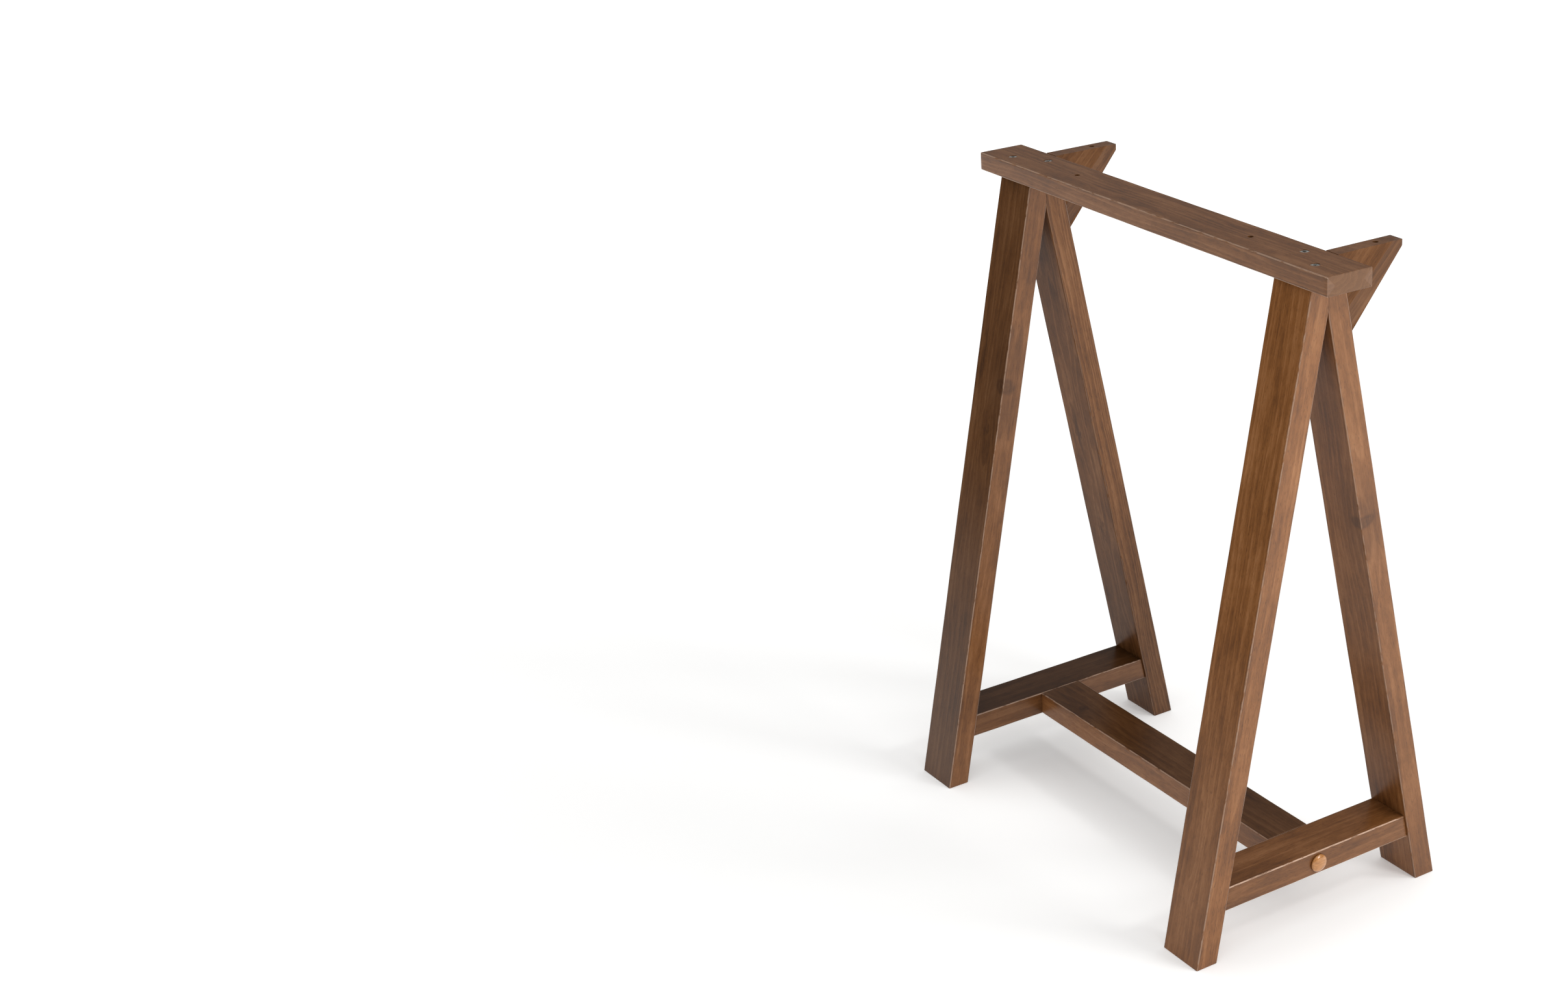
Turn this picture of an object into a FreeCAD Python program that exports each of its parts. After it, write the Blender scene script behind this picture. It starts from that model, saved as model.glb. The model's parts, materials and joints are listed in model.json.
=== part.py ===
import FreeCAD, Part
import math
import os

from FreeCAD import Vector

# Fixed A-frame trestle in stained softwood. Millimetres, +Z up, origin on the floor
# under the middle of the beam. X runs across the A-frames and Y along the beam.
# Two A-frames stand at the two ends, -Y is the front one and +Y is its mirror image.

# ---- driving dimensions -------------------------------------------------------

# Overall stance
frame_spacing = 482.0      # between the middles of the two A-frames
foot_span = 328.0          # over both feet of one A-frame, on the floor
head_width = 41.0          # over both leg heads, right under the beam
head_height = 708.0        # floor to the underside of the beam

# Timber sections
leg_thickness = 26.0       # square to the leg's wide face
leg_depth = 58.0           # along the beam
rail_height = 27.0
rail_setback = 3.0         # of the cross rail from each face of the legs
rail_level = 56.0          # floor to the underside of the cross rails
stretcher_width = 55.0
stretcher_height = 27.0
beam_width = 56.0
beam_thickness = 20.0
beam_overhang = 30.0       # past the outer face of the legs, at each end
arris_radius = 1.6         # rounded long edges of all the timber

# Corner brace between the right leg, the beam and whatever the trestle carries
brace_thickness = 18.0
brace_reach = 110.0        # from the trestle's middle to the brace's outer end
brace_drop = 91.0          # from the brace's top to its lower end
brace_nose = 8.0           # blunt outer end
brace_toe = 6.0            # blunt lower end, on the leg

# Slip tenons: flat hardwood tongues, glued into a mortise on each side of the joint
tenon_thickness = 8.0
tenon_clearance = 0.1      # of a tenon in its mortises, across both its section's sizes
tenon_end_gap = 0.5        # between a tenon's end and the floor of its mortise
head_tenon_width = 24.0
head_tenon_length = 28.0
head_tenon_drop = 15.0     # of its middle below the beam's underside
rail_tenon_width = 30.0
rail_tenon_length = 40.0
rail_tenon_bite = 17.0     # into the leg
stretcher_tenon_width = 12.0
stretcher_tenon_length = 36.0
stretcher_tenon_bite = 14.0    # into the cross rail
stretcher_tenon_spacing = 33.0    # between the middles of the two beside a bolt

# Knock-down joint between cross rail and stretcher
bolt_diameter = 6.0
bolt_length = 80.0
bolt_head_diameter = 10.0
bolt_head_height = 6.0
bolt_socket_width = 5.0
bolt_socket_depth = 3.5
bolt_clearance = 1.0       # of the bolt in the timber, on the diameter
washer_diameter = 12.5
washer_thickness = 1.6
washer_bore = 6.4
barrel_diameter = 10.0
barrel_length = 16.0
barrel_setback = 30.0      # from the stretcher's end to the barrel nut's axis
barrel_clearance = 0.2     # of the barrel nut in its hole, on the diameter
barrel_slot_width = 1.6
barrel_slot_depth = 1.5
thread_clearance = 0.1     # of the bolt in the barrel nut, on the diameter

# Turned button plug over the bolt head
plug_stem_diameter = 13.0
plug_stem_length = 6.0
plug_cap_diameter = 20.0
plug_cap_rim = 2.4         # thickness of the cap at its edge
plug_cap_round = 1.8       # radius round that edge
plug_cap_dome = 2.8        # rise of the dome above the edge
plug_clearance = 0.2       # of the stem in the counterbore, on the diameter
plug_to_bolt_gap = 1.4

# Connector screws for timber: countersunk head with a socket, blunt end
screw_diameter = 6.0
screw_head_diameter = 9.6
screw_clearance = 0.2      # of a screw in its holes, on the diameter
screw_socket_width = 4.0
screw_socket_depth = 2.5
beam_screw_length = 50.0
beam_screw_spread = 20.0   # across the seam, between the two screws of one A-frame
beam_screw_stagger = 40.0  # along the beam, between those two screws, clear of the tenon
beam_screw_sink = 0.6      # of the screw heads below the beam's top
brace_screw_length = 35.0
brace_screw_bite = 19.5    # into the leg
brace_screw_level = 66.0   # below the brace's top

# Holes by which something is screwed down on the trestle
fixing_hole_diameter = 6.0
fixing_head_diameter = 12.0
fixing_spacing = 300.0     # between the two holes in the beam
brace_fixing_inset = 27.0  # from the brace's outer end
brace_fixing_seat = 22.0   # timber left above the screw's pocket

# ---- worked out from those ------------------------------------------------------

frame_y = frame_spacing / 2
outer_face_y = frame_y + leg_depth / 2
rail_outer_y = outer_face_y - rail_setback
rail_depth = leg_depth - 2 * rail_setback
rail_inner_y = rail_outer_y - rail_depth
rail_axis_z = rail_level + rail_height / 2
beam_length = 2 * (outer_face_y + beam_overhang)
top_height = head_height + beam_thickness
splay = math.atan((foot_span - head_width) / 2 / head_height)
leg_width_level = leg_thickness / math.cos(splay)    # of a level cut through a leg
brace_bottom = top_height - brace_drop
screw_head_rise = (screw_head_diameter - screw_diameter) / 2    # 90 degree countersink
bore_depth = plug_stem_length + plug_to_bolt_gap + bolt_head_height + washer_thickness
bore_floor_y = -rail_outer_y + bore_depth
plug_bore_diameter = plug_stem_diameter + plug_clearance
margin = 20.0              # by which cutters and blanks run past what they cut

X_AXIS = Vector(1, 0, 0)
Y_AXIS = Vector(0, 1, 0)
Z_AXIS = Vector(0, 0, 1)


def outer_x(z):
    """Outer face of a right leg at height z."""
    return foot_span / 2 - z * math.tan(splay)


def inner_x(z):
    """Inner face of a right leg at height z."""
    return outer_x(z) - leg_width_level


# ---- shapes used more than once -------------------------------------------------


def rounded_bar(low, high, axis, radius):
    """A bar from corner low to corner high whose long edges, along axis, are rounded."""
    size = high - low
    bar = Part.makeBox(size.x, size.y, size.z, low)
    long_edges = [e for e in bar.Edges if abs(e.tangentAt(e.FirstParameter).dot(axis)) > 0.99]
    return bar.makeFillet(radius, long_edges)


def prism(points, low_y, high_y):
    """A prism along Y on an outline of (x, z) points."""
    wire = Part.makePolygon([Vector(x, low_y, z) for x, z in points + points[:1]])
    return Part.Face(wire).extrude(Vector(0, high_y - low_y, 0))


def rod(start, direction, length, diameter):
    return Part.makeCylinder(diameter / 2, length, start, direction)


def slip_tenon(low, high):
    """A flat tongue from corner low to corner high."""
    return Part.makeBox(*(high - low), low)


def mortise(low, high, axis):
    """The slot for a slip tenon along axis, a little wider, thicker and deeper than it."""
    ease = (Vector(1, 1, 1) - axis) * (tenon_clearance / 2) + axis * tenon_end_gap
    return slip_tenon(low - ease, high + ease)


def turned(profile, start, direction):
    """A solid of revolution from (radius, distance) points, along direction from start."""
    wire = Part.makePolygon([Vector(r, 0, d) for r, d in profile + profile[:1]])
    solid = Part.Face(wire).revolve(Vector(0, 0, 0), Z_AXIS, 360)
    solid.Placement = FreeCAD.Placement(start, FreeCAD.Rotation(Z_AXIS, direction))
    return solid


def hexagon_socket(start, direction, width, depth):
    """A blind hexagon recess of a width across its flats."""
    radius = width / 2 / math.cos(math.pi / 6)
    corners = [
        Vector(radius * math.cos(k * math.pi / 3), radius * math.sin(k * math.pi / 3), 0)
        for k in range(7)
    ]
    socket = Part.Face(Part.makePolygon(corners)).extrude(Vector(0, 0, depth))
    socket.Placement = FreeCAD.Placement(start, FreeCAD.Rotation(Z_AXIS, direction))
    return socket


def connector_screw(start, direction, length):
    """A countersunk screw: head face at start, blunt end at start + length."""
    body = turned(
        [
            (0, 0),
            (screw_head_diameter / 2, 0),
            (screw_diameter / 2, screw_head_rise),
            (screw_diameter / 2, length),
            (0, length),
        ],
        start,
        direction,
    )
    return body.cut(hexagon_socket(start, direction, screw_socket_width, screw_socket_depth))


def screw_hole(start, direction, length, above=margin):
    """The countersunk hole for a connector screw, a little wider and deeper than the screw.

    It is open above the head face for a length of above.
    """
    head_radius = (screw_head_diameter + screw_clearance) / 2
    radius = (screw_diameter + screw_clearance) / 2
    return turned(
        [
            (0, -above),
            (head_radius, -above),
            (head_radius, 0),
            (radius, head_radius - radius),
            (radius, length + screw_clearance),
            (0, length + screw_clearance),
        ],
        start,
        direction,
    )


def mirrored(shape):
    """The back frame's copy of a piece of the front frame."""
    return shape.mirror(Vector(0, 0, 0), Y_AXIS)


# ---- where the fasteners of the front frame are ---------------------------------


def tenon_across(low_x, length, z, width):
    """Corners of a slip tenon along X, level and centred on the front frame."""
    low = Vector(low_x, -frame_y - width / 2, z - tenon_thickness / 2)
    return low, low + Vector(length, width, tenon_thickness)


def tenon_along(middle_x):
    """Corners of a slip tenon along Y, from the front cross rail into the stretcher."""
    low = Vector(
        middle_x - stretcher_tenon_width / 2,
        -rail_inner_y - stretcher_tenon_bite,
        rail_axis_z - tenon_thickness / 2,
    )
    return low, low + Vector(stretcher_tenon_width, stretcher_tenon_length, tenon_thickness)


head_tenon_seat = tenon_across(
    -head_tenon_length / 2, head_tenon_length, head_height - head_tenon_drop, head_tenon_width
)
rail_tenon_tip = inner_x(rail_axis_z) + rail_tenon_bite
rail_tenon_seats = [
    tenon_across(low_x, rail_tenon_length, rail_axis_z, rail_tenon_width)
    for low_x in (-rail_tenon_tip, rail_tenon_tip - rail_tenon_length)
]
stretcher_tenon_seats = [
    tenon_along(side * stretcher_tenon_spacing / 2) for side in (-1, 1)
]

beam_screw_seats = [
    (
        Vector(
            side * beam_screw_spread / 2,
            side * beam_screw_stagger / 2 - frame_y,
            top_height - beam_screw_sink,
        ),
        -Z_AXIS,
        beam_screw_length,
    )
    for side in (-1, 1)
]

brace_screw_z = top_height - brace_screw_level
brace_screw_head_x = outer_x(brace_screw_z) - brace_screw_bite + brace_screw_length
brace_screw_seat = (
    Vector(brace_screw_head_x, -frame_y, brace_screw_z),
    -X_AXIS,
    brace_screw_length,
)


# ---- timber ---------------------------------------------------------------------


def leg(side):
    """A front leg. side is -1 on the left and 1 on the right."""
    blank_length = head_height / math.cos(splay) + 2 * margin
    blank = rounded_bar(
        Vector(-leg_thickness, -leg_depth / 2, -margin),
        Vector(0, leg_depth / 2, blank_length - margin),
        Z_AXIS,
        arris_radius,
    )
    blank.rotate(Vector(0, 0, 0), Y_AXIS, -math.degrees(splay))
    blank.translate(Vector(foot_span / 2, -frame_y, 0))
    # The foot is cut level, the head level under the beam and upright along the centre seam.
    room = Part.makeBox(foot_span, leg_depth + 2 * margin, head_height)
    room.translate(Vector(0, -frame_y - leg_depth / 2 - margin, 0))
    shape = blank.common(room)
    if side < 0:
        shape = shape.mirror(Vector(0, 0, 0), X_AXIS)
    for seat in [head_tenon_seat] + rail_tenon_seats:
        shape = shape.cut(mortise(*seat, X_AXIS))
    for seat in beam_screw_seats:
        shape = shape.cut(screw_hole(*seat))
    if side > 0:
        shape = shape.cut(screw_hole(*brace_screw_seat))
    return shape


def cross_rail():
    """The front cross rail, its ends cut to the splay of the legs."""
    low, high = rail_level, rail_level + rail_height
    blank = rounded_bar(
        Vector(-foot_span / 2, -rail_outer_y, low),
        Vector(foot_span / 2, -rail_inner_y, high),
        X_AXIS,
        arris_radius,
    )
    between_legs = prism(
        [
            (-inner_x(low), low),
            (inner_x(low), low),
            (inner_x(high), high),
            (-inner_x(high), high),
        ],
        -rail_outer_y - margin,
        -rail_inner_y + margin,
    )
    shape = blank.common(between_legs)
    for seat in rail_tenon_seats:
        shape = shape.cut(mortise(*seat, X_AXIS))
    for seat in stretcher_tenon_seats:
        shape = shape.cut(mortise(*seat, Y_AXIS))
    bolt_hole = rod(bolt_start(), Y_AXIS, rail_depth + margin, bolt_diameter + bolt_clearance)
    counterbore = rod(
        Vector(0, -rail_outer_y - margin, rail_axis_z), Y_AXIS, margin + bore_depth, plug_bore_diameter
    )
    return shape.cut(bolt_hole).cut(counterbore)


def stretcher():
    """The long stretcher between the cross rails, slotted and drilled at both ends."""
    top = rail_level + rail_height
    shape = rounded_bar(
        Vector(-stretcher_width / 2, -rail_inner_y, top - stretcher_height),
        Vector(stretcher_width / 2, rail_inner_y, top),
        Y_AXIS,
        arris_radius,
    )
    cutters = [mortise(*seat, Y_AXIS) for seat in stretcher_tenon_seats]
    cutters.append(rod(bolt_start(), Y_AXIS, bolt_length + margin / 4, bolt_diameter + bolt_clearance))
    # The barrel nut's hole is bored from below and stops just above the nut.
    barrel_hole_top = rail_axis_z + (barrel_length + barrel_clearance) / 2
    cutters.append(
        rod(
            Vector(0, barrel_y(), top - stretcher_height - margin),
            Z_AXIS,
            barrel_hole_top - (top - stretcher_height - margin),
            barrel_diameter + barrel_clearance,
        )
    )
    for cutter in cutters:
        shape = shape.cut(cutter).cut(mirrored(cutter))
    return shape


def beam():
    """The top beam, screwed to the leg heads and holed for whatever it carries."""
    shape = rounded_bar(
        Vector(-beam_width / 2, -beam_length / 2, head_height),
        Vector(beam_width / 2, beam_length / 2, top_height),
        Y_AXIS,
        arris_radius,
    )
    for seat in beam_screw_seats:
        hole = screw_hole(*seat)
        shape = shape.cut(hole).cut(mirrored(hole))
    for y in (-fixing_spacing / 2, fixing_spacing / 2):
        shape = shape.cut(fixing_hole(Vector(0, y, head_height)))
    return shape


def fixing_hole(start):
    """A hole upwards from start for a screw with a countersunk head."""
    radius = fixing_hole_diameter / 2
    head_radius = fixing_head_diameter / 2
    return turned(
        [
            (0, -margin),
            (head_radius, -margin),
            (head_radius, 0),
            (radius, head_radius - radius),
            (radius, beam_thickness + margin),
            (0, beam_thickness + margin),
        ],
        start,
        Z_AXIS,
    )


def brace():
    """The front corner brace: up the leg, round the beam's lower corner and under the top."""
    outline = [
        (outer_x(brace_bottom), brace_bottom),
        (outer_x(brace_bottom) + brace_toe, brace_bottom),
        (brace_reach, top_height - brace_nose),
        (brace_reach, top_height),
        (beam_width / 2, top_height),
        (beam_width / 2, head_height),
        (outer_x(head_height), head_height),
    ]
    near_y = -frame_y - brace_thickness / 2
    shape = prism(outline, near_y, near_y + brace_thickness)
    (toe_x, toe_z), (nose_x, nose_z) = outline[1:3]
    middle = Vector((toe_x + nose_x) / 2, 0, (toe_z + nose_z) / 2)
    sloping = [
        e for e in shape.Edges
        if abs(e.CenterOfMass.x - middle.x) < 1e-6 and abs(e.CenterOfMass.z - middle.z) < 1e-6
    ]
    shape = shape.makeFillet(arris_radius, sloping)
    shape = shape.cut(screw_hole(*brace_screw_seat, above=brace_reach))
    fixing_x = brace_reach - brace_fixing_inset
    seat = Vector(fixing_x, -frame_y, top_height - brace_fixing_seat)
    fixing = rod(seat, Z_AXIS, brace_fixing_seat + margin, fixing_hole_diameter)
    fixing_pocket = rod(seat, -Z_AXIS, brace_drop, fixing_head_diameter)
    return shape.cut(fixing).cut(fixing_pocket)


# ---- the knock-down joint -------------------------------------------------------


def bolt_start():
    """Under the head of the front stretcher bolt, on the washer."""
    return Vector(0, bore_floor_y - washer_thickness, rail_axis_z)


def barrel_y():
    """Axis of the front barrel nut."""
    return -rail_inner_y + barrel_setback


def stretcher_bolt():
    """A socket head cap screw, its shank towards the stretcher."""
    shank = rod(bolt_start(), Y_AXIS, bolt_length, bolt_diameter)
    head = rod(bolt_start(), -Y_AXIS, bolt_head_height, bolt_head_diameter)
    top = bolt_start() - Y_AXIS * bolt_head_height
    socket = hexagon_socket(top, Y_AXIS, bolt_socket_width, bolt_socket_depth)
    return shank.fuse(head).removeSplitter().cut(socket)


def bolt_washer():
    disc = rod(bolt_start(), Y_AXIS, washer_thickness, washer_diameter)
    return disc.cut(rod(bolt_start() - Y_AXIS, Y_AXIS, washer_thickness + 2, washer_bore))


def barrel_nut():
    """A cross-drilled barrel with a screwdriver slot in its lower end."""
    base = Vector(0, barrel_y(), rail_axis_z - barrel_length / 2)
    barrel = rod(base, Z_AXIS, barrel_length, barrel_diameter)
    thread = rod(
        Vector(0, barrel_y() - barrel_diameter, rail_axis_z),
        Y_AXIS,
        2 * barrel_diameter,
        bolt_diameter + thread_clearance,
    )
    slot = Part.makeBox(barrel_slot_width, 2 * barrel_diameter, barrel_slot_depth)
    slot.translate(base - Vector(barrel_slot_width / 2, barrel_diameter, 0))
    return barrel.cut(thread).cut(slot)


def button_plug():
    """A turned mushroom plug: stem in the counterbore, rim and dome on the rail's face."""
    stem = plug_stem_diameter / 2
    cap = plug_cap_diameter / 2
    rim = plug_cap_rim
    dome_radius = (cap ** 2 + plug_cap_dome ** 2) / (2 * plug_cap_dome)
    half_angle = math.asin(cap / dome_radius) / 2
    on_dome = Vector(
        dome_radius * math.sin(half_angle),
        0,
        rim + plug_cap_dome - dome_radius * (1 - math.cos(half_angle)),
    )
    corners = [
        Vector(cap, 0, rim),
        Vector(cap, 0, 0),
        Vector(stem, 0, 0),
        Vector(stem, 0, -plug_stem_length),
        Vector(0, 0, -plug_stem_length),
        Vector(0, 0, rim + plug_cap_dome),
    ]
    edges = [Part.LineSegment(a, b).toShape() for a, b in zip(corners, corners[1:])]
    edges.append(Part.Arc(corners[-1], on_dome, corners[0]).toShape())
    solid = Part.Face(Part.Wire(edges)).revolve(Vector(0, 0, 0), Z_AXIS, 360)
    rim_edge = [
        e for e in solid.Edges
        if e.Length > plug_cap_diameter and abs(e.BoundBox.ZMin - rim) < 1e-6
    ]
    solid = solid.makeFillet(plug_cap_round, rim_edge)
    solid.Placement = FreeCAD.Placement(
        Vector(0, -rail_outer_y, rail_axis_z), FreeCAD.Rotation(Z_AXIS, -Y_AXIS)
    )
    return solid


# ---- export ---------------------------------------------------------------------


def group(*shapes):
    """Like fasteners in one node: separate solids, not joined."""
    return Part.makeCompound(list(shapes) + [mirrored(shape) for shape in shapes])


pieces = {
    "stretcher": stretcher(),
    "top_beam": beam(),
    "beam_screws": group(*[connector_screw(*seat) for seat in beam_screw_seats]),
    "brace_screws": group(connector_screw(*brace_screw_seat)),
    "bolt_washers": group(bolt_washer()),
    "barrel_nuts": group(barrel_nut()),
    "button_plugs": group(button_plug()),
}

front_pieces = {
    "leg_{}_left": leg(-1),
    "leg_{}_right": leg(1),
    "cross_rail_{}": cross_rail(),
    "corner_brace_{}": brace(),
    "head_tenon_{}": slip_tenon(*head_tenon_seat),
    "rail_tenons_{}": Part.makeCompound([slip_tenon(*seat) for seat in rail_tenon_seats]),
    "stretcher_tenons_{}": Part.makeCompound([slip_tenon(*seat) for seat in stretcher_tenon_seats]),
    "stretcher_bolt_{}": stretcher_bolt(),
}
for name, shape in front_pieces.items():
    pieces[name.format("front")] = shape
    pieces[name.format("back")] = mirrored(shape)

os.makedirs("parts", exist_ok=True)
for name, shape in pieces.items():
    shape.exportStep("parts/" + name + ".step")
    print(name, len(shape.Solids), "solids", round(shape.Volume), "mm3", shape.isValid())
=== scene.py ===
import functools
import json
import math

import bpy
import numpy as np
from bpy.props import (
    FloatProperty, FloatVectorProperty, IntProperty, PointerProperty, StringProperty,
)
from mathutils import Euler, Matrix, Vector


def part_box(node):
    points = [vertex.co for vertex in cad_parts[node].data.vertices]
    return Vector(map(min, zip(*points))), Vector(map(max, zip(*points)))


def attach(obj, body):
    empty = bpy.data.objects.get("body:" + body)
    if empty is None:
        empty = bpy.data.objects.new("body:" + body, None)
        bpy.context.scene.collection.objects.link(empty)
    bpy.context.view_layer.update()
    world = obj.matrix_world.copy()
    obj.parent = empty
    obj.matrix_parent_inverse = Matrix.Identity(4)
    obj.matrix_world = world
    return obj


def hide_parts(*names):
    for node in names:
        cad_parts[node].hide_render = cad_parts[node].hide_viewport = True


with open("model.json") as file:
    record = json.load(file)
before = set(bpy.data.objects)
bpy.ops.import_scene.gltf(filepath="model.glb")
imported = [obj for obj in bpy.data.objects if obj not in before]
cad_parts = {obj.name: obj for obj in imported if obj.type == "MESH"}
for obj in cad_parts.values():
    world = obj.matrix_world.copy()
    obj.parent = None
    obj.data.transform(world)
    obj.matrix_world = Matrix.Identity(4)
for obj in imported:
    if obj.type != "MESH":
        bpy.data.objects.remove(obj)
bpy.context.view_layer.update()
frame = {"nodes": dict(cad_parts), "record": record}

bl_info = {
    "name": "Stained Pine Trestle",
    "version": (1, 0, 0),
    "blender": (4, 5, 0),
    "location": "3D View > Sidebar > Trestle",
    "description": "Dresses a wooden A-frame trestle: lacquered boards, turned plugs and hardware",
    "category": "Add Mesh",
}

MM = 0.001
FIT = 0.1 * MM              # play round a screw or a nut in its hole
SCREW_CONE = 1.8 * MM       # by how much a screw's head is wider than its shank, in radius
BIT_REACH = 30 * MM         # how far a bit starts behind the hole that it bores
BIT_CLEAR = 5 * MM          # how far it comes out past a face
SHOULDER = 2.4 * MM         # from an arris to where its flat starts
TURNED_SIDES = 64           # faces round a turned piece
SHARP_ANGLE = math.radians(40)    # between faces, past which a bored edge stays crisp
NO_ENDS = 1000.0            # mm, a length that puts a board's sawn ends out of its pattern
UP = np.array([0.0, 0.0, 1.0])
BODY = "root"
ENDS = {"front": -1, "back": 1}
SIDES = {"left": -1, "right": 1}


# ---- sizes and colours that a user would change -----------------------------------


class TimberSizes(bpy.types.PropertyGroup):
    """How the boards are planed, eased and sanded"""

    arris: FloatProperty(
        name="Arris radius", description="Radius of the boards' long edges",
        default=1.6 * MM, unit="LENGTH",
    )
    arris_wander: FloatProperty(
        name="Arris wander", description="Share by which hand sanding varies that radius",
        default=0.22,
    )
    easing: FloatProperty(
        name="End easing", description="Radius round the cut ends of a board",
        default=0.7 * MM, unit="LENGTH",
    )
    ring_step: FloatProperty(
        name="Mesh step", description="Distance between cross sections along a board",
        default=6.0 * MM, unit="LENGTH",
    )
    arc_steps: IntProperty(
        name="Arc steps", description="Faces round a quarter circle of an edge", default=6,
    )


class StainColours(bpy.types.PropertyGroup):
    """Colours of the stained softwood, as sRGB hex"""

    dark: StringProperty(
        name="Dark", description="Stain where the soft early wood drinks it", default="#5A361D",
    )
    middle: StringProperty(
        name="Middle", description="The board's overall brown", default="#945F33",
    )
    light: StringProperty(
        name="Light", description="Late wood and rubbed places", default="#B67E50",
    )
    knot: StringProperty(
        name="Knot", description="Heart of a knot", default="#2A160C",
    )
    # This colour is partly worn wood and partly a painted highlight on the arrises.
    rubbed_and_highlight: StringProperty(
        name="Rubbed", description="Paler wood where the arrises are sanded through",
        default="#E0BCA2",
    )
    sawn: StringProperty(
        name="Sawn end", description="Greyer brown of the end grain", default="#7B614F",
    )
    plug: StringProperty(
        name="Plug", description="Honey stain of the turned plugs", default="#C68744",
    )
    plug_dark: StringProperty(
        name="Plug figure", description="Darker figure of the turned plugs", default="#9E652D",
    )


class StageSettings(bpy.types.PropertyGroup):
    """Camera and soft light of the studio"""

    camera_place: FloatVectorProperty(
        name="Camera place", description="Where the camera stands", size=3, unit="LENGTH",
        default=(-1.447, -1.968, 1.418),
    )
    camera_turn: FloatVectorProperty(
        name="Camera turn", description="Pitch, roll and heading of the camera, in degrees",
        size=3, default=(66.448, 1.241, -35.324),
    )
    camera_lens: FloatProperty(name="Lens", description="Focal length in mm", default=55.91)
    camera_shift: FloatVectorProperty(
        name="Camera shift", description="Shift of the picture, in picture widths",
        size=2, default=(-0.2042, 0.0300),
    )
    floor_size: FloatProperty(
        name="Floor size", description="Side of the pale floor", default=60.0, unit="LENGTH",
    )
    floor_glow: FloatProperty(
        name="Floor glow", description="Light that the floor gives off under the trestle",
        default=0.235,
    )
    far_glow: FloatProperty(
        name="Far glow", description="Light that the floor gives off further away", default=0.52,
    )
    horizon: FloatProperty(
        name="Horizon light", description="Brightness of the studio walls", default=0.22,
    )
    zenith: FloatProperty(
        name="Ceiling light", description="Brightness straight above", default=0.95,
    )


# ---- reading the frame --------------------------------------------------------------


def node_points(node):
    """All vertices of a CAD node as an array of points, in metres."""
    mesh = frame["nodes"][node].data
    points = np.empty(len(mesh.vertices) * 3, np.float32)
    mesh.vertices.foreach_get("co", points)
    return points.reshape(-1, 3).astype(float)


def level_cut(node, height):
    """Lowest and highest corner of those vertices of a node that lie at one height."""
    points = node_points(node)
    points = points[np.abs(points[:, 2] - height) < 0.01 * MM]
    return points.min(0), points.max(0)


def solid_box(node, x=0, y=0):
    """Lowest and highest corner of the part of a CAD node on the sides with those signs."""
    points = node_points(node)
    points = points[(points[:, 0] * x >= 0) & (points[:, 1] * y >= 0)]
    return points.min(0), points.max(0)


def splayed_leg(side):
    """Where a leg's outer and inner face stand at the foot, and the x they gain per height."""
    node = "leg_front_left" if side < 0 else "leg_front_right"
    low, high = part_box(node)
    foot_low, foot_high = level_cut(node, low.z)
    head_low, head_high = level_cut(node, high.z)
    outer_foot = max(abs(foot_low[0]), abs(foot_high[0]))
    inner_foot = min(abs(foot_low[0]), abs(foot_high[0]))
    outer_head = max(abs(head_low[0]), abs(head_high[0]))
    return outer_foot, inner_foot, (outer_head - outer_foot) / (high.z - low.z)


# ---- meshes -------------------------------------------------------------------------


def mesh_piece(name, points, faces, flat_faces):
    """A piece from points in metres, smooth faces and flat ones, its faces turned outwards."""
    mesh = bpy.data.meshes.new(name)
    mesh.from_pydata(points.reshape(-1, 3).tolist(), [], list(faces) + list(flat_faces))
    smooth = np.ones(len(mesh.polygons), bool)
    smooth[len(faces):] = False
    mesh.polygons.foreach_set("use_smooth", smooth)
    mesh.update()
    if enclosed_volume(mesh) < 0:
        mesh.flip_normals()
    piece = bpy.data.objects.new(name, mesh)
    bpy.context.scene.collection.objects.link(piece)
    return piece


def enclosed_volume(mesh):
    """Volume inside a closed mesh: a sixth of the triple products of its triangles' corners."""
    mesh.calc_loop_triangles()
    corners = np.empty(len(mesh.loop_triangles) * 3, np.int32)
    mesh.loop_triangles.foreach_get("vertices", corners)
    points = np.empty(len(mesh.vertices) * 3, np.float32)
    mesh.vertices.foreach_get("co", points)
    a, b, c = points.reshape(-1, 3)[corners.reshape(-1, 3)].astype(float).transpose(1, 0, 2)
    return float((a * np.cross(b, c)).sum() / 6)


def grid_faces(rings, count):
    """Quads between neighbouring rings of count points each, every ring closed on itself."""
    ring, point = np.meshgrid(np.arange(rings - 1), np.arange(count), indexing="ij")
    after = (point + 1) % count
    quads = np.stack(
        [ring * count + point, ring * count + after,
         (ring + 1) * count + after, (ring + 1) * count + point], axis=-1,
    )
    return quads.reshape(-1, 4).tolist()


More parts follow.
